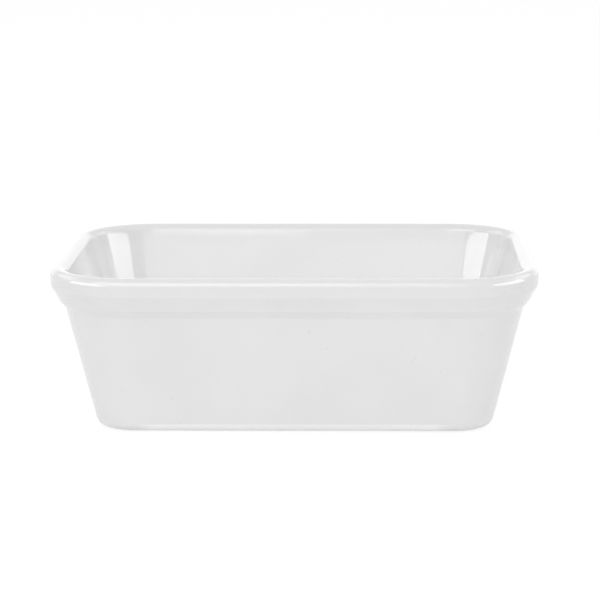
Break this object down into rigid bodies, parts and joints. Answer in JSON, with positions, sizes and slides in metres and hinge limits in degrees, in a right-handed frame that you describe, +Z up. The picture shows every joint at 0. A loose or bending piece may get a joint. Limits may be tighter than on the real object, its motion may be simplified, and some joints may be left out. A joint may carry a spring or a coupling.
{
  "type": "rectangular gratin dish",
  "caption": "Deep rectangular gratin dish in white glazed ceramic, with rounded corners, sloping walls, a rolled lip over a stepped collar and a bare foot ring.",
  "frame": {"origin": "on the surface that the dish stands on, under the middle of the dish", "axes": "+X along the long side, +Y along the short side towards the back, +Z up out of the mouth"},
  "size_m": [0.16, 0.12, 0.0534],
  "materials": {
    "bare_clay": "fired clay, unglazed and matt",
    "white_glaze": "opaque white glaze, glossy"
  },
  "bodies": {
    "root": {"clay_body": "bare_clay", "glaze_coat": "white_glaze", "base_glaze": "white_glaze"}
  },
  "joints": []
}
